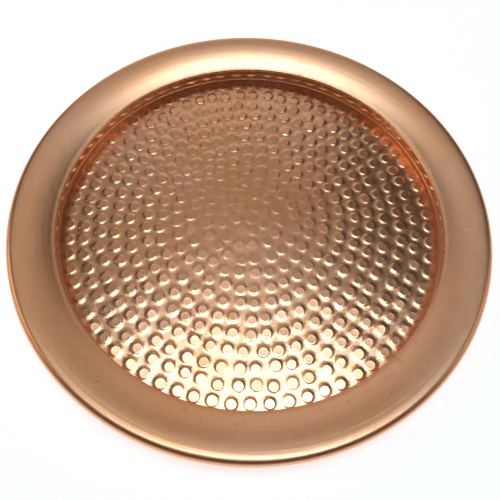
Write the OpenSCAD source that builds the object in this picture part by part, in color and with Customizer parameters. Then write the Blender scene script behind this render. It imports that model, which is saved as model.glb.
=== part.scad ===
// Hammered copper tray
//
// A round serving tray raised from one copper sheet: a flat floor punched with rings of raised
// round marks, a short steep wall, and a broad crowned rim whose edge is rolled over a steel wire.
// The floor's underside lies on Z = 0 and the tray's axis is Z. All sizes are in millimetres.

/* [Tray] */
// Diameter over the rolled edge
tray_d = 400; // [390:1:420]
// Diameter of the floor, measured where the wall starts
floor_d = 333; // [329:1:337]
// Height of the floor's top face up to the centre of the edge wire
edge_h = 20; // [17:0.5:26]
// Thickness of the copper sheet
sheet = 1; // [0.8:0.1:1.3]

/* [Wall and rim] */
// Angle by which the wall leans outwards
wall_lean = 8; // [4:1:20]
// Inside radius of the bend from floor to wall
foot_r = 1.5; // [1:0.1:3]
// Radius of the shoulder from wall to rim
shoulder_r = 2.5; // [1.9:0.1:5]
// Radius of the rim's crown, seen in section
crown_r = 88; // [75:1:200]
// Slope of the rim where it meets the rolled edge
rim_slope = 9; // [6:1:12]

/* [Rolled edge] */
// Diameter of the steel wire inside the edge
wire_d = 8; // [5:0.5:9]
// Angle through which the sheet is rolled round the wire
wrap_angle = 285; // [200:5:300]

/* [Hammer marks] */
// Number of rings of marks round the middle one
mark_rings = 12; // [6:1:12]
// Distance from one ring to the next
ring_pitch = 13.1; // [12:0.1:13.1]
// Distance between neighbours along the outermost ring
mark_pitch = 14.2; // [13:0.1:20]
// Diameter of a mark's flat top
mark_top_d = 7.2; // [4:0.1:8]
// Diameter over a mark's slope
mark_base_d = 10; // [8.2:0.1:10.2]
// Height of a mark in the outer rings, above the floor
mark_h = 0.5; // [0.4:0.1:1]
// How far a mark may stray from its regular place
mark_stray = 1.4; // [0:0.1:1.6]

/* [Hidden] */

wire_gap = 0.02;              // the sheet's grip on the wire, as a radial clearance
step = 5;                     // degrees between an arc's points
inner_crowding = 0.85;        // spacing along the innermost ring, as a share of mark_pitch
inner_height = 0.45;          // height of the middle mark, as a share of mark_h
outer_stray = 0.3;            // how far the outermost marks stray across their ring, as a share
round_fn = 96;

wire_r = wire_d / 2;
roll_r = wire_r + wire_gap + sheet;
roll_c = [tray_d / 2 - roll_r, edge_h];
rim_end = 90 + rim_slope;
crown_c = roll_c + (roll_r - crown_r) * [cos(rim_end), sin(rim_end)];

// The shoulder's circle lies inside the crown's circle and touches the wall's line.
wall_in = [-cos(wall_lean), sin(wall_lean)];
foot_c = [floor_d / 2 - foot_r * (1 - sin(wall_lean)) / cos(wall_lean), foot_r];
wall_reach = [floor_d / 2, 0] * wall_in;
shoulder_c = shoulder_centre(0, 40);

// Solves for the height at which a circle of shoulder_r touching the wall also touches the crown.
function on_wall(z) = [(wall_reach - shoulder_r - z * wall_in.y) / wall_in.x, z];
function crown_miss(z) = norm(on_wall(z) - crown_c) - (crown_r - shoulder_r);
function shoulder_centre(low, high) =
    let (mid = (low + high) / 2)
    high - low < 1e-6 ? on_wall(mid)
        : crown_miss(mid) > 0 ? shoulder_centre(low, mid) : shoulder_centre(mid, high);

shoulder_end = atan2(shoulder_c.y - crown_c.y, shoulder_c.x - crown_c.x);

// The sheet's path from the middle outwards: centre, radius of the face that shows, first angle,
// last angle, and +1 where that face is the outside of the bend or -1 where it is the inside.
bends = [
    [foot_c, foot_r, -90, -wall_lean, -1],
    [shoulder_c, shoulder_r, 180 - wall_lean, shoulder_end, 1],
    [crown_c, crown_r, shoulder_end, rim_end, 1],
    [roll_c, roll_r, rim_end, rim_end - wrap_angle, 1]
];

function bend_points(bend, depth) =
    let (
        r = bend[1] - bend[4] * depth,
        turn = bend[3] - bend[2],
        pieces = max(4, ceil(abs(turn) / step))
    )
    [for (i = [0:pieces]) let (a = bend[2] + turn * i / pieces) bend[0] + r * [cos(a), sin(a)]];
function face_points(depth) = [for (bend = bends) each bend_points(bend, depth)];
function reversed(list) = [for (i = [len(list) - 1:-1:0]) list[i]];

// Repeatable scatter between -1 and 1 for mark number i of ring k.
function scatter(k, i, draw) =
    let (v = 43.758 * sin(97.4 * i + 131.8 * k + 41 * draw)) 2 * (v - floor(v)) - 1;

function ring_count(k) =
    let (pitch = mark_pitch * (inner_crowding + (1 - inner_crowding) * k / mark_rings))
    round(2 * PI * k * ring_pitch / pitch);

// Each mark's place on the floor and its height.
marks = [
    [0, 0, mark_height(0)],
    for (k = [1:mark_rings], n = [ring_count(k)], i = [0:n - 1])
        let (
            r = k * ring_pitch + (k == mark_rings ? outer_stray : 1) * mark_stray * scatter(k, i, 1),
            a = 360 * (i + 0.5 * (k % 2)) / n + mark_stray * scatter(k, i, 2) / r * 180 / PI
        )
        [r * cos(a), r * sin(a), mark_height(k)]
];
function mark_height(k) = mark_h * (inner_height + (1 - inner_height) * min(1, 1.5 * k / mark_rings));

// One piece of sheet: everything from the floor to the end of the rolled edge.
module tray_pan() {
    color("#b9764f")
    translate([0, 0, sheet]) {
        rotate_extrude($fn = round_fn)
        polygon(concat([[0, 0]], face_points(0), reversed(face_points(sheet)), [[0, -sheet]]));
        for (mark = marks) translate([mark.x, mark.y]) raised_mark(mark.z);
    }
}

module raised_mark(height) {
    sunk = 0.2;
    grow = sunk * (mark_base_d - mark_top_d) / height;
    translate([0, 0, -sunk])
    cylinder(h = height + sunk, d1 = mark_base_d + grow, d2 = mark_top_d, $fn = 24);
}

// The stiffening wire that the edge is rolled over.
module edge_wire() {
    color("#8f9295")
    translate([0, 0, sheet])
    rotate_extrude($fn = round_fn)
    translate(roll_c) circle(r = wire_r, $fn = 48);
}

tray_pan();
edge_wire();
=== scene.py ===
"""Finished model of a hammered copper tray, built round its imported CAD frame.

The pan is one sheet of copper: a floor punched with rings of raised round marks, a short steep
wall and a broad crowned rim, rolled over a steel wire. Everything is in metres, in the frame's
own axes, with the floor's underside on Z = 0.
"""

import logging
import math
from dataclasses import dataclass, field
from enum import Enum
from typing import Any

import bpy
import numpy as np
from mathutils import Matrix, Vector
from mathutils.geometry import delaunay_2d_cdt

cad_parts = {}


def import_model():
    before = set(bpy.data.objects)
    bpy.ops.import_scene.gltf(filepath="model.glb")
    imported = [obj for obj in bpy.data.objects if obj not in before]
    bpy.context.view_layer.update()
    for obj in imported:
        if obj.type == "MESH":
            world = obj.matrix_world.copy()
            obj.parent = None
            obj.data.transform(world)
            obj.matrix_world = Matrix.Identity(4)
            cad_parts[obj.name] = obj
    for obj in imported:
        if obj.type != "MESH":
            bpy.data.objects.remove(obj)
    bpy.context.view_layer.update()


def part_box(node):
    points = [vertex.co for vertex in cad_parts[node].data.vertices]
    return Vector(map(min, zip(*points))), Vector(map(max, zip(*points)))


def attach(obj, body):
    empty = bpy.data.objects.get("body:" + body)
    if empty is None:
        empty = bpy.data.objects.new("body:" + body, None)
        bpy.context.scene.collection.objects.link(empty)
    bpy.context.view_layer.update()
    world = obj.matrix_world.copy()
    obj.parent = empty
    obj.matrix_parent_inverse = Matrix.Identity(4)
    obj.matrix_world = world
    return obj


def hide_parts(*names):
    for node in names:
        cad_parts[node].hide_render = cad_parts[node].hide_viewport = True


LOG = logging.getLogger("tray")
MM = 0.001


class Side(Enum):
    """Which face of the sheet a point of the pan is on, and how far the marks lift it."""

    SHOWN = 1.0
    UNDER = 0.62


class Tint(Enum):
    """Colours, as linear red, green and blue."""

    COPPER = (0.90, 0.47, 0.275)
    COPPER_WARM = (0.88, 0.42, 0.21)
    TARNISH = (0.34, 0.15, 0.09)
    PIT = (0.03, 0.02, 0.02)
    STEEL = (0.42, 0.43, 0.44)
    STEEL_DARK = (0.22, 0.21, 0.20)
    TABLE = (0.90, 0.90, 0.89)


# --------------------------------------------------------------------------- node trees


@dataclass
class Graph:
    """A node tree that is filled a node at a time.

    Attributes:
        tree: The shader or geometry tree to fill.
    """

    tree: bpy.types.NodeTree

    def add(self, kind: str, inputs: dict[Any, Any] | None = None, **settings: Any) -> Any:
        """Adds one node, sets it up and wires it.

        Args:
            kind: The node's class name.
            inputs: Socket name or number to a value, or to the socket that feeds it.
            **settings: The node's own properties.

        Returns:
            The new node.
        """
        node = self.tree.nodes.new(kind)
        for name, value in settings.items():
            setattr(node, name, value)
        for key, value in (inputs or {}).items():
            if isinstance(value, bpy.types.NodeSocket):
                self.tree.links.new(value, node.inputs[key])
            else:
                node.inputs[key].default_value = value
        return node

    def math(self, operation: str, *values: Any) -> Any:
        """Adds a Math node.

        Args:
            operation: The operation's name, such as "ADD".
            *values: Its operands, numbers or sockets.

        Returns:
            The result's socket.
        """
        node = self.add("ShaderNodeMath", dict(enumerate(values)), operation=operation)
        return node.outputs[0]

    def vector(self, operation: str, *values: Any) -> Any:
        """Adds a Vector Math node.

        Args:
            operation: The operation's name, such as "LENGTH".
            *values: Its operands, vectors or sockets.

        Returns:
            The result's socket.
        """
        node = self.add("ShaderNodeVectorMath", dict(enumerate(values)), operation=operation)
        scalar = operation in ("LENGTH", "DISTANCE", "DOT_PRODUCT")
        return node.outputs["Value" if scalar else "Vector"]

    def remap(self, value: Any, low: float, high: float, to_low: float, to_high: float) -> Any:
        """Adds a smooth, clamped Map Range node.

        Args:
            value: The socket to remap.
            low: The input that gives to_low.
            high: The input that gives to_high.
            to_low: The first result.
            to_high: The last result.

        Returns:
            The result's socket.
        """
        node = self.add(
            "ShaderNodeMapRange",
            {"Value": value, 1: low, 2: high, 3: to_low, 4: to_high},
            interpolation_type="SMOOTHSTEP",
        )
        return node.outputs[0]


@dataclass
class ShapeTree:
    """A Geometry Nodes tree with named inputs, run once on a mesh.

    Attributes:
        name: The tree's name.
        sizes: Input name to its socket type and value.
    """

    name: str
    sizes: dict[str, tuple[str, Any]]
    tree: Any = field(init=False)
    graph: Graph = field(init=False)
    ends: tuple[Any, Any] = field(init=False)

    def __post_init__(self) -> None:
        """Makes the empty tree and its interface."""
        self.tree = bpy.data.node_groups.new(self.name, "GeometryNodeTree")
        face = self.tree.interface
        face.new_socket("Geometry", in_out="INPUT", socket_type="NodeSocketGeometry")
        for label, (kind, _) in self.sizes.items():
            face.new_socket(label, in_out="INPUT", socket_type="NodeSocket" + kind)
        face.new_socket("Geometry", in_out="OUTPUT", socket_type="NodeSocketGeometry")
        self.graph = Graph(self.tree)
        self.ends = (
            self.tree.nodes.new("NodeGroupInput"),
            self.tree.nodes.new("NodeGroupOutput"),
        )

    def given(self, label: str) -> Any:
        """Returns the socket of a named input."""
        return self.ends[0].outputs[label]

    def close(self, geometry: Any) -> None:
        """Ends the tree in Realize Instances and Set Material.

        Args:
            geometry: The geometry socket that is the tree's result.
        """
        real = self.graph.add("GeometryNodeRealizeInstances", {0: geometry})
        done = self.graph.add(
            "GeometryNodeSetMaterial",
            {"Geometry": real.outputs[0], "Material": self.given("Material")},
        )
        self.tree.links.new(done.outputs[0], self.ends[1].inputs[0])

    def run(self, mesh: bpy.types.Mesh, name: str) -> bpy.types.Mesh:
        """Runs the tree on a mesh.

        Args:
            mesh: The mesh that goes in.
            name: The name of the mesh that comes out.

        Returns:
            The result as a plain mesh.
        """
        carrier = bpy.data.objects.new(name, mesh)
        bpy.context.scene.collection.objects.link(carrier)
        modifier = carrier.modifiers.new(self.name, "NODES")
        modifier.node_group = self.tree
        for item in self.tree.interface.items_tree:
            if item.in_out == "INPUT" and item.name in self.sizes:
                modifier[item.identifier] = self.sizes[item.name][1]
        graph = bpy.context.evaluated_depsgraph_get()
        result = bpy.data.meshes.new_from_object(carrier.evaluated_get(graph))
        result.name = name
        bpy.data.objects.remove(carrier)
        return result


# ------------------------------------------------------------------------------ finishes


@dataclass(frozen=True)
class CopperFinish:
    """Polished copper: spun and brushed on wall and rim, punched on the floor.

    Attributes:
        floor_radius: Where the floor ends and the spun part starts.
        floor_gloss: Roughness of the floor.
        rim_gloss: Roughness that the spun part has besides.
        line_pitch: Distance between the brushing's coarser lines.
        line_depth: How far those lines stand.
        lacquer: Strength of the thin clear lacquer.
        lacquer_gloss: Roughness of that lacquer.
        smudge: How much rougher the grimy places are.
        grime_depth: How far the grime stands.
        cloud_scale: Slow changes of tone in a metre.
        grime_scale: Patches of thin tarnish in a metre.
        speck_scale: Small pits in a metre, at most.
    """

    floor_radius: float
    floor_gloss: float = 0.24
    rim_gloss: float = 0.07
    line_pitch: float = 2.2 * MM
    line_depth: float = 0.10 * MM
    lacquer: float = 0.3
    lacquer_gloss: float = 0.12
    smudge: float = 0.05
    grime_depth: float = 0.006 * MM
    cloud_scale: float = 9.0
    grime_scale: float = 160.0
    speck_scale: float = 420.0

    def material(self) -> bpy.types.Material:
        """Builds the material.

        Returns:
            The finished material.
        """
        made = bpy.data.materials.new("polished_copper")
        made.use_nodes = True
        graph = Graph(made.node_tree)
        place = graph.add("ShaderNodeTexCoord").outputs["Object"]
        lines, spun = self.brushing(graph, place)
        cloud = self.noise(graph, place, self.cloud_scale, 4.0)
        grime = self.noise(graph, place, self.grime_scale, 5.0)
        speck = self.noise(graph, place, self.speck_scale, 2.0)
        gloss = graph.remap(grime, 0.35, 0.75, self.floor_gloss, self.floor_gloss + self.smudge)
        relief = graph.math("MULTIPLY", graph.math("MULTIPLY", lines, spun), self.line_depth)
        bump = graph.add(
            "ShaderNodeBump",
            {
                "Height": graph.math("ADD", graph.math("MULTIPLY", grime, self.grime_depth), relief),
                "Strength": 1.0,
                "Distance": 1.0,
            },
        )
        shader = made.node_tree.nodes["Principled BSDF"]
        wires = {
            "Base Color": self.colour(graph, cloud, grime, speck),
            "Roughness": graph.math("ADD", gloss, graph.math("MULTIPLY", spun, self.rim_gloss)),
            "Normal": bump.outputs[0],
        }
        for name, source in wires.items():
            made.node_tree.links.new(source, shader.inputs[name])
        shader.inputs["Metallic"].default_value = 1.0
        shader.inputs["Coat Weight"].default_value = self.lacquer
        shader.inputs["Coat Roughness"].default_value = self.lacquer_gloss
        return made

    def brushing(self, graph: Graph, place: Any) -> tuple[Any, Any]:
        """Adds the lines that run round the spun part.

        Args:
            graph: The material's tree.
            place: The place on the piece.

        Returns:
            The lines' height, and a share that is 1 on the spun part and 0 on the floor.
        """
        axes = graph.add("ShaderNodeSeparateXYZ", {0: place}).outputs
        flat = graph.add("ShaderNodeCombineXYZ", {0: axes[0], 1: axes[1]}).outputs[0]
        radius = graph.vector("LENGTH", flat)
        across = graph.math("DIVIDE", graph.math("ADD", radius, axes[2]), self.line_pitch)
        round_it = graph.vector("MULTIPLY", graph.vector("NORMALIZE", flat), (1.6, 1.6, 0.0))
        along = graph.vector(
            "ADD", round_it, graph.add("ShaderNodeCombineXYZ", {2: across}).outputs[0]
        )
        spun = graph.remap(radius, self.floor_radius - 1.5 * MM, self.floor_radius, 0.0, 1.0)
        return self.noise(graph, along, 1.0, 5.0), spun

    @staticmethod
    def noise(graph: Graph, place: Any, scale: float, detail: float) -> Any:
        """Adds a noise.

        Args:
            graph: The material's tree.
            place: The place to read it at.
            scale: How many of its waves fit in a metre.
            detail: How many finer layers it has.

        Returns:
            The noise's socket.
        """
        node = graph.add(
            "ShaderNodeTexNoise", {"Vector": place, "Scale": scale, "Detail": detail}
        )
        return node.outputs["Fac"]

    def colour(self, graph: Graph, cloud: Any, grime: Any, speck: Any) -> Any:
        """Mixes the copper's tones.

        Args:
            graph: The material's tree.
            cloud: A broad noise, for slow changes of tone.
            grime: A fine noise, for thin tarnish.
            speck: A finer noise, for small dark pits.

        Returns:
            The colour's socket.
        """
        ramp = graph.add("ShaderNodeValToRGB", {"Fac": cloud})
        stops = ramp.color_ramp.elements
        stops[0].position, stops[0].color = 0.35, (*Tint.COPPER_WARM.value, 1.0)
        stops[1].position, stops[1].color = 0.62, (*Tint.COPPER.value, 1.0)
        thin = self.blend(
            graph, graph.remap(grime, 0.58, 0.85, 0.0, 0.35), ramp.outputs[0], Tint.TARNISH
        )
        return self.blend(graph, graph.remap(speck, 0.74, 0.80, 0.0, 0.9), thin, Tint.PIT)

    @staticmethod
    def blend(graph: Graph, share: Any, first: Any, second: Tint) -> Any:
        """Mixes a colour socket with a fixed tint.

        Args:
            graph: The material's tree.
            share: How much of the tint.
            first: The colour's socket.
            second: The tint.

        Returns:
            The mixed colour's socket.
        """
        node = graph.add(
            "ShaderNodeMix",
            {0: share, 6: first, 7: (*second.value, 1.0)},
            data_type="RGBA",
        )
        return node.outputs[2]


@dataclass(frozen=True)
class SteelFinish:
    """Drawn steel wire, a little dull.

    Attributes:
        gloss: Roughness of the wire.
    """

    gloss: float = 0.38

    def material(self) -> bpy.types.Material:
        """Builds the material.

        Returns:
            The finished material.
        """
        made = bpy.data.materials.new("drawn_steel")
        made.use_nodes = True
        graph = Graph(made.node_tree)
        shader = made.node_tree.nodes["Principled BSDF"]
        place = graph.add("ShaderNodeTexCoord").outputs["Object"]
        speck = graph.add("ShaderNodeTexNoise", {"Vector": place, "Scale": 400.0, "Detail": 3.0})
        ramp = graph.add("ShaderNodeValToRGB", {"Fac": speck.outputs["Fac"]})
        ramp.color_ramp.elements[0].color = (*Tint.STEEL_DARK.value, 1.0)
        ramp.color_ramp.elements[1].color = (*Tint.STEEL.value, 1.0)
        bump = graph.add(
            "ShaderNodeBump",
            {"Height": speck.outputs["Fac"], "Strength": 0.3, "Distance": 0.0001},
        )
        made.node_tree.links.new(ramp.outputs[0], shader.inputs["Base Color"])
        made.node_tree.links.new(bump.outputs[0], shader.inputs["Normal"])
        shader.inputs["Metallic"].default_value = 1.0
        shader.inputs["Roughness"].default_value = self.gloss
        return made


@dataclass(frozen=True)
class TableFinish:
    """The plain pale surface that the tray stands on.

    Attributes:
        gloss: Roughness of the surface.
        glow: Brightness of its own, as on a light table.
    """

    gloss: float = 0.9
    glow: float = 0.55

    def material(self) -> bpy.types.Material:
        """Builds the material.

        Returns:
            The finished material.
        """
        made = bpy.data.materials.new("pale_table")
        made.use_nodes = True
        shader = made.node_tree.nodes["Principled BSDF"]
        shader.inputs["Base Color"].default_value = (*Tint.TABLE.value, 1.0)
        shader.inputs["Roughness"].default_value = self.gloss
        shader.inputs["Emission Color"].default_value = (1.0, 1.0, 1.0, 1.0)
        shader.inputs["Emission Strength"].default_value = self.glow
        return made


# ------------------------------------------------------------------------- the sheet's path


@dataclass(frozen=True)
class Bend:
    """One round stretch of the sheet's section, in the plane of radius and height.

    Attributes:
        centre: Centre of the bend.
        radius: Radius of the face that shows.
        start: First angle, in degrees.
        stop: Last angle, in degrees.
        sense: 1 where the shown face is the outside of the bend, -1 where it is the inside.
        pieces: Number of steps along it.
    """

    centre: tuple[float, float]
    radius: float
    start: float
    stop: float
    sense: int
    pieces: int

    def points(self, depth: float, share: float = 1.0) -> list[tuple[float, float]]:
        """Lists the points of one face of the bend.

        Args:
            depth: How deep in the sheet the face lies, 0 for the shown one.
            share: How many of the steps to take, as a share.

        Returns:
            The points, as radius and height.
        """
        radius = self.radius - self.sense * depth
        steps = max(2, round(self.pieces * share))
        angles = [
            math.radians(self.start + (self.stop - self.start) * i / steps)
            for i in range(steps + 1)
        ]
        return [
            (self.centre[0] + radius * math.cos(a), self.centre[1] + radius * math.sin(a))
            for a in angles
        ]


@dataclass
class SheetPath:
    """The section of the pan's sheet from the floor's edge to the end of the rolled edge.

    Attributes:
        outer: The tray's radius.
        wire_centre: Radius and height of the edge wire's centre.
        wire_radius: Radius of the edge wire.
        sheet: The sheet's thickness.
        floor: The floor's radius, where the wall's line meets it.
        lean: Angle of the wall's line to the tray's axis, in degrees.
        foot: Inside radius of the bend from floor to wall.
        shoulder: Radius of the bend from wall to rim.
        crown: Radius of the rim's crown.
        slope: Slope of the rim where it meets the rolled edge, in degrees.
        wrap: Angle through which the edge is rolled, in degrees.
    """

    outer: float
    wire_centre: tuple[float, float]
    wire_radius: float
    sheet: float = 1.0 * MM
    floor: float = 166.5 * MM
    lean: float = 8.0
    foot: float = 1.5 * MM
    shoulder: float = 2.5 * MM
    crown: float = 88.0 * MM
    slope: float = 9.0
    wrap: float = 285.0
    bends: list[Bend] = field(init=False)

    def __post_init__(self) -> None:
        """Works out the bends, each of which touches the next."""
        top = self.sheet
        lean = math.radians(self.lean)
        roll = self.outer - self.wire_centre[0]
        rim_end = 90 + self.slope
        crown_centre = (
            self.wire_centre[0] + (roll - self.crown) * math.cos(math.radians(rim_end)),
            self.wire_centre[1] + (roll - self.crown) * math.sin(math.radians(rim_end)),
        )
        foot_x = self.floor - self.foot * (1 - math.sin(lean)) / math.cos(lean)
        self.foot_centre = (foot_x, top + self.foot)
        centre = self.shoulder_centre(crown_centre, lean)
        meet = math.degrees(
            math.atan2(centre[1] - crown_centre[1], centre[0] - crown_centre[0])
        )
        self.bends = [
            Bend(self.foot_centre, self.foot, -90, -self.lean, -1, 8),
            Bend(centre, self.shoulder, 180 - self.lean, meet, 1, 8),
            Bend(crown_centre, self.crown, meet, rim_end, 1, 10),
            Bend(self.wire_centre, roll, rim_end, rim_end - self.wrap, 1, 24),
        ]

    def shoulder_centre(self, crown_centre: tuple[float, float], lean: float) -> tuple[float, float]:
        """Finds a circle that touches both the wall's line and the crown's circle.

        Known fault: it takes the circle on the line's inner side. The CAD pan has the one on the
        outer side, so this pan's wall leans inwards and its top lies 5 mm inside the CAD's.

        Args:
            crown_centre: Centre of the rim's crown.
            lean: The wall's lean, in radians.

        Returns:
            The circle's centre.
        """
        low, high = self.sheet, self.sheet + 40 * MM
        reach = -self.floor * math.cos(lean) + self.sheet * math.sin(lean)

        def on_wall(height: float) -> tuple[float, float]:
            return (
                (reach - height * math.sin(lean) + self.shoulder) / -math.cos(lean),
                height,
            )

        for _ in range(50):
            middle = (low + high) / 2
            gap = math.dist(on_wall(middle), crown_centre) - (self.crown - self.shoulder)
            low, high = (low, middle) if gap > 0 else (middle, high)
        return on_wall(middle)

    def face(self, side: Side) -> list[tuple[float, float]]:
        """Lists the points of one face, from the floor outwards.

        Args:
            side: Which face of the sheet.

        Returns:
            The points, as radius and height.
        """
        depth, share = (0.0, 1.0) if side is Side.SHOWN else (self.sheet, 0.6)
        return [point for bend in self.bends for point in bend.points(depth, share)]


# --------------------------------------------------------------------------- the tray's parts


@dataclass
class HammerMarks:
    """The rings of round marks that are punched into the floor from below.

    Attributes:
        rings: Number of rings round the middle mark.
        pitch: Distance from ring to ring.
        spacing: Distance between neighbours along the outermost ring.
        crowding: Spacing of the innermost ring, as a share of the outermost one's.
        stray: How far a mark may stray from its regular place.
        outer_stray: How far the outermost marks stray across their ring, as a share.
        top: Radius of a mark's flat top.
        base: Radius of a mark's slope.
        uneven: How much the marks differ in width, as a share.
        uneven_height: How much they differ in height, as a share.
        height: Height of a mark.
        middle: Height of the marks near the middle, as a share.
        tilt: Slope of a mark's top, at most.
        seed: Turns the scatter into another one.
    """

    rings: int = 12
    pitch: float = 13.1 * MM
    spacing: float = 14.2 * MM
    crowding: float = 0.85
    stray: float = 1.4 * MM
    outer_stray: float = 0.3
    top: float = 3.6 * MM
    base: float = 5.3 * MM
    uneven: float = 0.07
    uneven_height: float = 0.16
    height: float = 0.46 * MM
    middle: float = 0.35
    tilt: float = 0.035
    seed: int = 0

    def scatter(self, graph: Graph, ring: Any, index: Any, draw: int) -> Any:
        """Adds a repeatable scatter between -1 and 1 for each mark.

        Args:
            graph: The tree to fill.
            ring: The ring's number.
            index: The mark's number along its ring.
            draw: Number of the draw, for a value of its own.

        Returns:
            The value's socket.
        """
        steps = [math.radians(a) for a in (97.4, 131.8, 41.0 * draw + 7.0 * self.seed)]
        phase = graph.math("MULTIPLY_ADD", index, steps[0], steps[2])
        wave = graph.math("SINE", graph.math("MULTIPLY_ADD", ring, steps[1], phase))
        part = graph.math("FRACT", graph.math("MULTIPLY", wave, 43.758))
        return graph.math("MULTIPLY_ADD", part, 2.0, -1.0)

    def lay_out(self) -> bpy.types.Mesh:
        """Lays out the marks.

        Returns:
            A mesh with one point for each mark, and its width as the attribute "width".
        """
        tree = ShapeTree(
            "mark_rings",
            {
                "Rings": ("Int", self.rings),
                "Ring Pitch": ("Float", self.pitch),
                "Spacing": ("Float", self.spacing),
                "Crowding": ("Float", self.crowding),
                "Stray": ("Float", self.stray),
                "Outer Stray": ("Float", self.outer_stray),
                "Uneven": ("Float", self.uneven),
                "Material": ("Material", None),
            },
        )
        graph, given = tree.graph, tree.given
        start = graph.add("GeometryNodeRepeatInput")
        stop = graph.add("GeometryNodeRepeatOutput")
        start.pair_with_output(stop)
        middle = graph.add("GeometryNodeMeshLine", {"Count": 1})
        sized = graph.add(
            "GeometryNodeStoreNamedAttribute",
            {"Geometry": middle.outputs[0], "Name": "width", "Value": 1.0},
        )
        tree.tree.links.new(given("Rings"), start.inputs["Iterations"])
        tree.tree.links.new(sized.outputs[0], start.inputs["Geometry"])
        ring = graph.math("ADD", start.outputs["Iteration"], 1.0)
        joined = graph.add("GeometryNodeJoinGeometry")
        tree.tree.links.new(self.one_ring(graph, given, ring), joined.inputs[0])
        tree.tree.links.new(start.outputs["Geometry"], joined.inputs[0])
        tree.tree.links.new(joined.outputs[0], stop.inputs["Geometry"])
        tree.close(stop.outputs["Geometry"])
        return tree.run(bpy.data.meshes.new("no_marks"), "mark_centres")

    def one_ring(self, graph: Graph, given: Any, ring: Any) -> Any:
        """Adds the nodes that lay out one ring of marks.

        Args:
            graph: The tree to fill.
            given: Returns the socket of a named input.
            ring: The ring's number.

        Returns:
            The socket of the ring's points.
        """
        share = graph.math("DIVIDE", ring, given("Rings"))
        slack = graph.math("SUBTRACT", 1.0, given("Crowding"))
        crowding = graph.math("MULTIPLY_ADD", slack, share, given("Crowding"))
        radius = graph.math("MULTIPLY", ring, given("Ring Pitch"))
        spacing = graph.math("MULTIPLY", given("Spacing"), crowding)
        around = graph.math("MULTIPLY", radius, math.tau)
        count = graph.math("ROUND", graph.math("DIVIDE", around, spacing))
        circle = graph.add("GeometryNodeMeshCircle", {"Vertices": count, "Radius": 1.0})
        index = graph.add("GeometryNodeInputIndex").outputs[0]
        last = graph.math("COMPARE", ring, given("Rings"), 0.5)
        held = graph.math("MULTIPLY", last, graph.math("SUBTRACT", given("Outer Stray"), 1.0))
        stray = graph.math("MULTIPLY", given("Stray"), graph.math("ADD", held, 1.0))
        out = graph.math("MULTIPLY_ADD", stray, self.scatter(graph, ring, index, 1), radius)
        odd = graph.math("MULTIPLY", graph.math("MODULO", ring, 2.0), 0.5)
        turn = graph.math("DIVIDE", graph.math("ADD", index, odd), count)
        aside = graph.math("MULTIPLY", given("Stray"), self.scatter(graph, ring, index, 2))
        angle = graph.math("MULTIPLY_ADD", turn, math.tau, graph.math("DIVIDE", aside, out))
        spot = graph.add(
            "ShaderNodeCombineXYZ",
            {
                0: graph.math("MULTIPLY", out, graph.math("COSINE", angle)),
                1: graph.math("MULTIPLY", out, graph.math("SINE", angle)),
            },
        )
        laid = graph.add(
            "GeometryNodeSetPosition",
            {"Geometry": circle.outputs[0], "Position": spot.outputs[0]},
        )
        width = graph.math(
            "MULTIPLY_ADD", given("Uneven"), self.scatter(graph, ring, index, 3), 1.0
        )
        return graph.add(
            "GeometryNodeStoreNamedAttribute",
            {"Geometry": laid.outputs[0], "Name": "width", "Value": width},
        ).outputs[0]

    def profile(self) -> list[tuple[float, float]]:
        """Gives a mark's section: a flat top with a low crisp lip, then a slope.

        Returns:
            The section's points, as shares of the base radius and of the height.
        """
        top = self.top / self.base
        return [
            (0.0, 0.84),
            (0.78 * top, 0.85),
            (0.96 * top, 1.0),
            (1.08 * top, 0.88),
            (1.22 * top, 0.55),
            (1.38 * top, 0.19),
            (1.0, 0.0),
        ]


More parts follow.
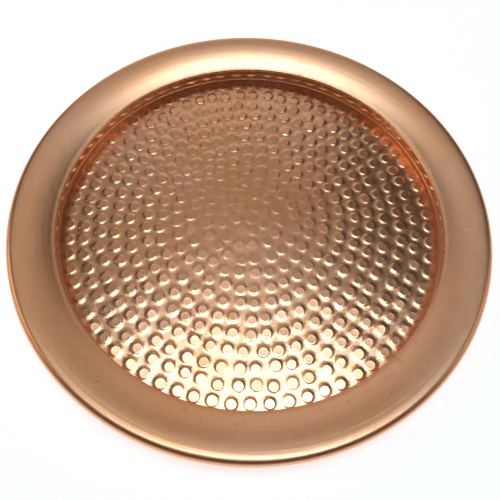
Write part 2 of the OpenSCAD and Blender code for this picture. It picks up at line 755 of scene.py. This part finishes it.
@dataclass
class TrayPan:
    """The copper pan: hammered floor, wall, rim and rolled edge in one closed mesh.

    Attributes:
        path: The section of the wall, rim and rolled edge.
        marks: The hammer marks.
        finish: The copper's finish.
        segments: Steps round the tray.
        wave: Height of the floor's slow waves.
        wave_size: Length of those waves.
    """

    path: SheetPath
    marks: HammerMarks
    finish: CopperFinish
    segments: int = 192
    wave: float = 0.22 * MM
    wave_size: float = 26.0 * MM

    def stencil(self, side: Side) -> tuple[np.ndarray, int, float]:
        """Gives the rings of points that each mark needs.

        Args:
            side: Which face of the sheet.

        Returns:
            The rings' radii, the points on each, and the spacing of the points between marks.
        """
        top, base = self.marks.top, self.marks.base
        if side is Side.SHOWN:
            shares = [0.60, 0.80, 0.96, 1.08, 1.22, 1.38]
            return np.array([share * top for share in shares] + [base]), 18, 2.6 * MM
        return np.array([0.85 * top, 1.15 * top, base]), 10, 4.0 * MM

    def floor_points(self, spots: np.ndarray, side: Side) -> np.ndarray:
        """Places the floor's points: rings round every mark, and a loose grid between them.

        Args:
            spots: The marks' centres and widths.
            side: Which face of the sheet.

        Returns:
            The points, one row of X and Y each.
        """
        radii, count, grid = self.stencil(side)
        turns = np.arange(count) * math.tau / count
        rings = [
            radius * np.stack([np.cos(turns + 0.5 * i), np.sin(turns + 0.5 * i)], 1)
            for i, radius in enumerate(radii)
        ]
        shape = np.concatenate([np.zeros((1, 2)), *rings])
        near = (spots[:, None, :2] + shape[None] * spots[:, 2, None, None]).reshape(-1, 2)
        owner = np.repeat(np.arange(len(spots)), len(shape))
        near = near[self.nearest(near, spots)[0] == owner]
        reach = self.path.foot_centre[0]
        steps = np.arange(-reach, reach, grid)
        far = np.stack(np.meshgrid(steps, steps), -1).reshape(-1, 2)
        rng = np.random.default_rng(7)
        far += rng.uniform(-0.12, 0.12, far.shape) * grid
        apart = self.nearest(far, spots)[1] > radii[-1] + 0.45 * grid
        inside = np.hypot(*far.T) < reach - 0.8 * grid
        return np.concatenate([near[np.hypot(*near.T) < reach - 0.4 * MM], far[apart & inside]])

    @staticmethod
    def nearest(points: np.ndarray, spots: np.ndarray) -> tuple[np.ndarray, np.ndarray]:
        """Finds each point's nearest mark.

        Args:
            points: The points.
            spots: The marks' centres and widths.

        Returns:
            The marks' numbers and distances.
        """
        number = np.empty(len(points), int)
        distance = np.empty(len(points))
        for first in range(0, len(points), 4096):
            part = slice(first, first + 4096)
            gaps = np.linalg.norm(points[part, None] - spots[None, :, :2], axis=2)
            number[part] = gaps.argmin(1)
            distance[part] = gaps.min(1)
        return number, distance

    def circle(self, radius: float) -> np.ndarray:
        """Gives the points of one ring round the tray.

        Args:
            radius: The ring's radius.

        Returns:
            The points, one row of X and Y each.
        """
        turns = np.arange(self.segments) * math.tau / self.segments
        return radius * np.stack([np.cos(turns), np.sin(turns)], 1)

    def disc(self, spots: np.ndarray, side: Side) -> tuple[np.ndarray, list[tuple[int, ...]]]:
        """Fills the floor's disc with triangles, its rim's points first.

        Args:
            spots: The marks' centres and widths.
            side: Which face of the sheet.

        Returns:
            The points and the triangles, which face up.
        """
        rim = self.circle(self.path.foot_centre[0])
        points = np.concatenate([rim, self.floor_points(spots, side)])
        flat, _, faces, *_ = delaunay_2d_cdt(
            [Vector(p) for p in points], [], [], 0, 1e-9, False
        )
        height = self.path.sheet if side is Side.SHOWN else 0.0
        placed = np.array([(p[0], p[1], height) for p in flat])
        return placed, [tuple(face) for face in faces]

    def blank(self, spots: np.ndarray) -> bpy.types.Mesh:
        """Builds the closed pan with its floor still flat.

        Args:
            spots: The marks' centres and widths.

        Returns:
            The mesh, with a point attribute "lift" that says how far a mark lifts each point.
        """
        verts: list[np.ndarray] = []
        faces: list[tuple[int, ...]] = []
        lift: list[np.ndarray] = []
        starts = []
        total = 0
        for side in Side:
            points, triangles = self.disc(spots, side)
            starts.append(total)
            order = (0, 1, 2) if side is Side.SHOWN else (2, 1, 0)
            faces += [tuple(t[i] + total for i in order) for t in triangles]
            verts.append(points)
            weight = np.full(len(points), side.value)
            weight[: self.segments] = 0.0
            lift.append(weight)
            total += len(points)
        section = self.path.face(Side.SHOWN)[1:] + self.path.face(Side.UNDER)[:0:-1]
        rows = [starts[0]]
        for radius, height in section:
            ring = self.circle(radius)
            verts.append(np.column_stack([ring, np.full(len(ring), height)]))
            lift.append(np.zeros(len(ring)))
            rows.append(total)
            total += len(ring)
        rows.append(starts[1])
        for row, following in zip(rows, rows[1:]):
            for i in range(self.segments):
                j = (i + 1) % self.segments
                faces.append((row + j, row + i, following + i, following + j))
        mesh = bpy.data.meshes.new("pan_blank")
        mesh.from_pydata(np.concatenate(verts).tolist(), [], faces)
        mesh.attributes.new("lift", "FLOAT", "POINT").data.foreach_set(
            "value", np.concatenate(lift).astype(np.float32)
        )
        mesh.validate()
        return mesh

    def punch(
        self, blank: bpy.types.Mesh, centres: bpy.types.Mesh, material: bpy.types.Material
    ) -> bpy.types.Mesh:
        """Raises the marks and waves the floor.

        Args:
            blank: The flat pan.
            centres: The mesh with one point for each mark.
            material: The copper.

        Returns:
            The hammered pan.
        """
        holder = bpy.data.objects.new("mark_centres", centres)
        bpy.context.scene.collection.objects.link(holder)
        tree = ShapeTree(
            "punched_floor",
            {
                "Marks": ("Object", holder),
                "Base Radius": ("Float", self.marks.base),
                "Height": ("Float", self.marks.height),
                "Middle Height": ("Float", self.marks.middle),
                "Tilt": ("Float", self.marks.tilt),
                "Wave": ("Float", self.wave),
                "Wave Size": ("Float", self.wave_size),
                "Floor Radius": ("Float", self.path.foot_centre[0]),
                "Material": ("Material", material),
            },
        )
        graph, given = tree.graph, tree.given
        here = graph.add("GeometryNodeInputPosition").outputs[0]
        flat = graph.vector("MULTIPLY", here, (1.0, 1.0, 0.0))
        peak = self.mark_rise(graph, given, here, flat)
        noise = graph.add(
            "ShaderNodeTexNoise",
            {
                "Vector": flat,
                "Scale": graph.math("DIVIDE", 1.0, given("Wave Size")),
                "Detail": 1.5,
            },
        ).outputs["Fac"]
        edge = graph.math("DIVIDE", graph.vector("LENGTH", flat), given("Floor Radius"))
        calm = graph.remap(edge, 0.955, 0.995, 1.0, 0.0)
        swell = graph.math("MULTIPLY", graph.math("MULTIPLY", noise, given("Wave")), calm)
        lift = graph.add("GeometryNodeInputNamedAttribute", {"Name": "lift"}, data_type="FLOAT")
        rise = graph.math("MULTIPLY", graph.math("ADD", peak, swell), lift.outputs[0])
        up = graph.add("ShaderNodeCombineXYZ", {2: graph.math("MAXIMUM", rise, 0.0)})
        moved = graph.add(
            "GeometryNodeSetPosition", {"Geometry": given("Geometry"), "Offset": up.outputs[0]}
        )
        smooth = graph.add("GeometryNodeSetShadeSmooth", {"Geometry": moved.outputs[0]})
        tree.close(smooth.outputs[0])
        made = tree.run(blank, "tray_pan_mesh")
        bpy.data.objects.remove(holder)
        return made

    def mark_rise(self, graph: Graph, given: Any, here: Any, flat: Any) -> Any:
        """Adds the nodes that say how far the nearest mark raises a point.

        Args:
            graph: The tree to fill.
            given: Returns the socket of a named input.
            here: The point's place.
            flat: The same place, with a height of 0.

        Returns:
            The rise's socket.
        """
        centres = graph.add(
            "GeometryNodeObjectInfo", {"Object": given("Marks")}
        ).outputs["Geometry"]
        number = graph.add(
            "GeometryNodeSampleNearest", {"Geometry": centres, "Sample Position": flat}
        ).outputs[0]
        wide = graph.add(
            "GeometryNodeInputNamedAttribute", {"Name": "width"}, data_type="FLOAT"
        ).outputs[0]
        spot = self.sampled(graph, centres, here, number, "FLOAT_VECTOR")
        width = self.sampled(graph, centres, wide, number, "FLOAT")
        offset = graph.vector("SUBTRACT", flat, spot)
        base = graph.math("MULTIPLY", given("Base Radius"), width)
        distance = graph.math("DIVIDE", graph.vector("LENGTH", offset), base)
        shape = graph.add("ShaderNodeFloatCurve", {"Value": distance})
        self.draw_profile(shape.mapping.curves[0])
        shape.mapping.update()
        reach = graph.math("DIVIDE", graph.vector("LENGTH", spot), given("Floor Radius"))
        strength = graph.math(
            "MULTIPLY_ADD",
            graph.math("SUBTRACT", 1.0, given("Middle Height")),
            graph.remap(reach, 0.15, 0.75, 0.0, 1.0),
            given("Middle Height"),
        )
        vary = graph.math(
            "MULTIPLY_ADD",
            self.marks.scatter(graph, number, number, 3),
            self.marks.uneven_height,
            1.0,
        )
        tall = graph.math("MULTIPLY", graph.math("MULTIPLY", strength, vary), given("Height"))
        lean = graph.add(
            "ShaderNodeCombineXYZ",
            {
                0: self.marks.scatter(graph, number, 0.0, 4),
                1: self.marks.scatter(graph, number, 0.0, 5),
            },
        ).outputs[0]
        slant = graph.math("MULTIPLY", graph.vector("DOT_PRODUCT", lean, offset), given("Tilt"))
        return graph.math("MULTIPLY", graph.math("ADD", tall, slant), shape.outputs[0])

    @staticmethod
    def sampled(graph: Graph, centres: Any, value: Any, number: Any, kind: str) -> Any:
        """Reads a value of the mark with a given number.

        Args:
            graph: The tree to fill.
            centres: The marks' geometry.
            value: The field to read.
            number: The mark's number.
            kind: The field's data type.

        Returns:
            The value's socket.
        """
        node = graph.add("GeometryNodeSampleIndex", data_type=kind)
        for name, source in {"Geometry": centres, "Value": value, "Index": number}.items():
            graph.tree.links.new(source, node.inputs[name])
        return node.outputs["Value"]

    def draw_profile(self, curve: Any) -> None:
        """Sets the section of a mark.

        Args:
            curve: The Float Curve node's curve.
        """
        shape = self.marks.profile()
        while len(curve.points) < len(shape):
            curve.points.new(0.5, 0.5)
        for point, place in zip(curve.points, shape):
            point.location = place
            point.handle_type = "AUTO_CLAMPED"

    def build(self) -> bpy.types.Object:
        """Builds and dresses the pan.

        Returns:
            The finished piece.
        """
        centres = self.marks.lay_out()
        spots = np.array([vertex.co for vertex in centres.vertices])
        spots[:, 2] = [item.value for item in centres.attributes["width"].data]
        mesh = self.punch(self.blank(spots), centres, self.finish.material())
        LOG.info("tray pan: %d marks, %d faces", len(spots), len(mesh.polygons))
        pan = bpy.data.objects.new("hammered_pan", mesh)
        bpy.context.scene.collection.objects.link(pan)
        return pan


@dataclass
class EdgeWire:
    """The steel wire inside the rolled edge, a ring whose two ends meet.

    Attributes:
        path: The sheet's section, which gives the wire's place.
        finish: The steel's finish.
        segments: Steps round the tray.
        sides: Steps round the wire.
        joint: Gap between the wire's two ends.
    """

    path: SheetPath
    finish: SteelFinish
    segments: int = 256
    sides: int = 14
    joint: float = 0.4 * MM

    def build(self) -> bpy.types.Object:
        """Builds and dresses the wire.

        Returns:
            The finished piece.
        """
        radius, height = self.path.wire_centre
        gap = self.joint / radius
        verts = []
        faces = []
        for i in range(self.segments + 1):
            turn = gap / 2 + (math.tau - gap) * i / self.segments
            for j in range(self.sides):
                a = math.tau * j / self.sides
                out = radius + self.path.wire_radius * math.cos(a)
                up = height + self.path.wire_radius * math.sin(a)
                verts.append((out * math.cos(turn), out * math.sin(turn), up))
        for i in range(self.segments):
            for j in range(self.sides):
                near, far = i * self.sides, (i + 1) * self.sides
                k = (j + 1) % self.sides
                faces.append((near + j, far + j, far + k, near + k))
        faces.append(tuple(range(self.sides)))
        faces.append(tuple(range(len(verts) - 1, len(verts) - 1 - self.sides, -1)))
        mesh = bpy.data.meshes.new("edge_wire_mesh")
        mesh.from_pydata(verts, [], faces)
        mesh.polygons.foreach_set("use_smooth", [True] * len(faces))
        mesh.materials.append(self.finish.material())
        LOG.info("edge wire: %d faces", len(faces))
        wire = bpy.data.objects.new("stiffening_wire", mesh)
        bpy.context.scene.collection.objects.link(wire)
        return wire


# --------------------------------------------------------------------------------- the studio


@dataclass(frozen=True)
class Softbox:
    """One soft rectangular light.

    Attributes:
        name: The light's name.
        place: Where its middle hangs, in metres from the middle of the floor.
        width: Its width.
        length: Its length.
        shine: Its brightness, as a share of white.
        colour: Its colour.
    """

    name: str
    place: tuple[float, float, float]
    width: float
    length: float
    shine: float
    colour: tuple[float, float, float] = (1.0, 1.0, 1.0)

    def build(self, target: Vector) -> None:
        """Hangs the light.

        Args:
            target: The point that it faces.
        """
        lamp = bpy.data.lights.new(self.name, "AREA")
        lamp.shape = "RECTANGLE"
        lamp.size, lamp.size_y = self.width, self.length
        lamp.color = self.colour
        lamp.energy = self.shine * math.pi * self.width * self.length
        holder = bpy.data.objects.new(self.name, lamp)
        way = Vector(self.place).normalized()
        holder.location = target + Vector(self.place)
        holder.rotation_euler = way.to_track_quat("Z", "Y").to_euler()
        bpy.context.scene.collection.objects.link(holder)


@dataclass
class Studio:
    """The table, the lights and the camera.

    Attributes:
        radius: The tray's radius, which scales the rest.
        floor_top: Height of the tray's floor.
        reach: The camera's distance from the middle of the floor, in tray radii.
        rise: The camera's height above the floor, in degrees.
        roll: The camera's turn about its own view, in radians.
        aim: How far the view is turned sideways and up, as slopes.
        lens: The camera's focal length on a 36 mm sensor.
        ambient: Brightness of the room overhead.
        horizon: Brightness of the room at table height.
        fade: Heights over which the one turns into the other, as sines of the angle.
    """

    radius: float
    floor_top: float
    reach: float = 2.112
    rise: float = 60.38
    roll: float = 0.0513
    aim: tuple[float, float] = (0.0013, -0.0645)
    lens: float = 34.44
    ambient: float = 0.05
    horizon: float = 0.55
    fade: tuple[float, float] = (0.05, 0.5)

    def build(self) -> None:
        """Sets up the table, the lights, the room and the camera."""
        self.lay_table()
        self.hang_lights()
        self.set_camera()

    def lay_table(self) -> None:
        """Lays the plain pale table under the tray."""
        half = 12 * self.radius
        corners = [(-half, -half, 0), (half, -half, 0), (half, half, 0), (-half, half, 0)]
        mesh = bpy.data.meshes.new("table_mesh")
        mesh.from_pydata(corners, [], [(0, 1, 2, 3)])
        mesh.materials.append(TableFinish().material())
        table = bpy.data.objects.new("table", mesh)
        bpy.context.scene.collection.objects.link(table)

    def hang_lights(self) -> None:
        """Hangs the lights and makes the room brighter towards table height."""
        world = bpy.data.worlds.new("room")
        bpy.context.scene.world = world
        world.use_nodes = True
        back = world.node_tree.nodes["Background"]
        back.inputs["Color"].default_value = (1.0, 0.82, 0.68, 1.0)
        graph = Graph(world.node_tree)
        way = graph.add("ShaderNodeTexCoord").outputs["Generated"]
        height = graph.add("ShaderNodeSeparateXYZ", {0: way}).outputs[2]
        strength = graph.remap(height, *self.fade, self.horizon, self.ambient)
        world.node_tree.links.new(strength, back.inputs["Strength"])
        cool = (0.62, 0.84, 1.0)
        boxes = [
            Softbox("overhead", (0.05, 0.0, 2.6), 1.05, 1.6, 4.9, cool),
            Softbox("overhead_wide", (0.1, -0.05, 2.7), 2.2, 2.0, 0.26, (1.0, 0.92, 0.82)),
            Softbox("far_wall", (-0.45, 2.0, 2.2), 2.1, 2.6, 0.25, (1.0, 0.95, 0.86)),
            Softbox("far_window", (-0.2, 2.6, 2.1), 2.2, 1.0, 0.40, (0.9, 0.96, 1.0)),
            Softbox("far_low", (-0.3, 3.2, 1.0), 3.6, 2.0, 0.24, (1.0, 0.92, 0.82)),
            Softbox("left_side", (-2.0, 0.1, 1.35), 1.2, 1.0, 1.5, (1.0, 0.86, 0.66)),
            Softbox("right_side", (2.0, 0.1, 1.35), 1.2, 1.0, 0.8, (1.0, 0.86, 0.6)),
        ]
        for box in boxes:
            box.build(Vector((0, 0, self.floor_top)))

    def set_camera(self) -> None:
        """Places the camera above the near side of the tray."""
        rise = math.radians(self.rise)
        centre = Vector((0, 0, self.floor_top))
        back = Vector((0, -math.cos(rise), math.sin(rise)))
        right = Vector((1, 0, 0))
        ahead = -back
        up = right.cross(ahead)
        ahead = (ahead + self.aim[0] * right + self.aim[1] * up).normalized()
        right = ahead.cross(up).normalized()
        up = right.cross(ahead)
        turned = math.cos(self.roll) * right + math.sin(self.roll) * up
        upright = math.cos(self.roll) * up - math.sin(self.roll) * right
        data = bpy.data.cameras.new("camera")
        data.lens, data.sensor_width = self.lens, 36.0
        data.clip_start, data.clip_end = 0.01, 50.0
        camera = bpy.data.objects.new("camera", data)
        axes = Matrix((turned, upright, -ahead)).transposed()
        camera.matrix_world = Matrix.Translation(
            centre + back * self.reach * self.radius
        ) @ axes.to_4x4()
        bpy.context.scene.collection.objects.link(camera)
        bpy.context.scene.camera = camera
        bpy.context.scene.view_settings.view_transform = "Standard"


def main() -> None:
    """Builds the tray piece by piece and reports each one."""
    logging.basicConfig(level=logging.INFO, format="%(name)s: %(message)s")
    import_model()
    low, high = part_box("edge_wire")
    wire_radius = (high[2] - low[2]) / 2
    centre = (high[0] - wire_radius, (high[2] + low[2]) / 2)
    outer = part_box("tray_pan")[1][0]
    path = SheetPath(outer, centre, wire_radius)

    Studio(outer, path.sheet).build()
    pan = TrayPan(path, HammerMarks(), CopperFinish(path.foot_centre[0])).build()
    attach(pan, "root")
    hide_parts("tray_pan")

    wire = EdgeWire(path, SteelFinish()).build()
    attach(wire, "root")
    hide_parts("edge_wire")


if __name__ == "__main__":
    main()
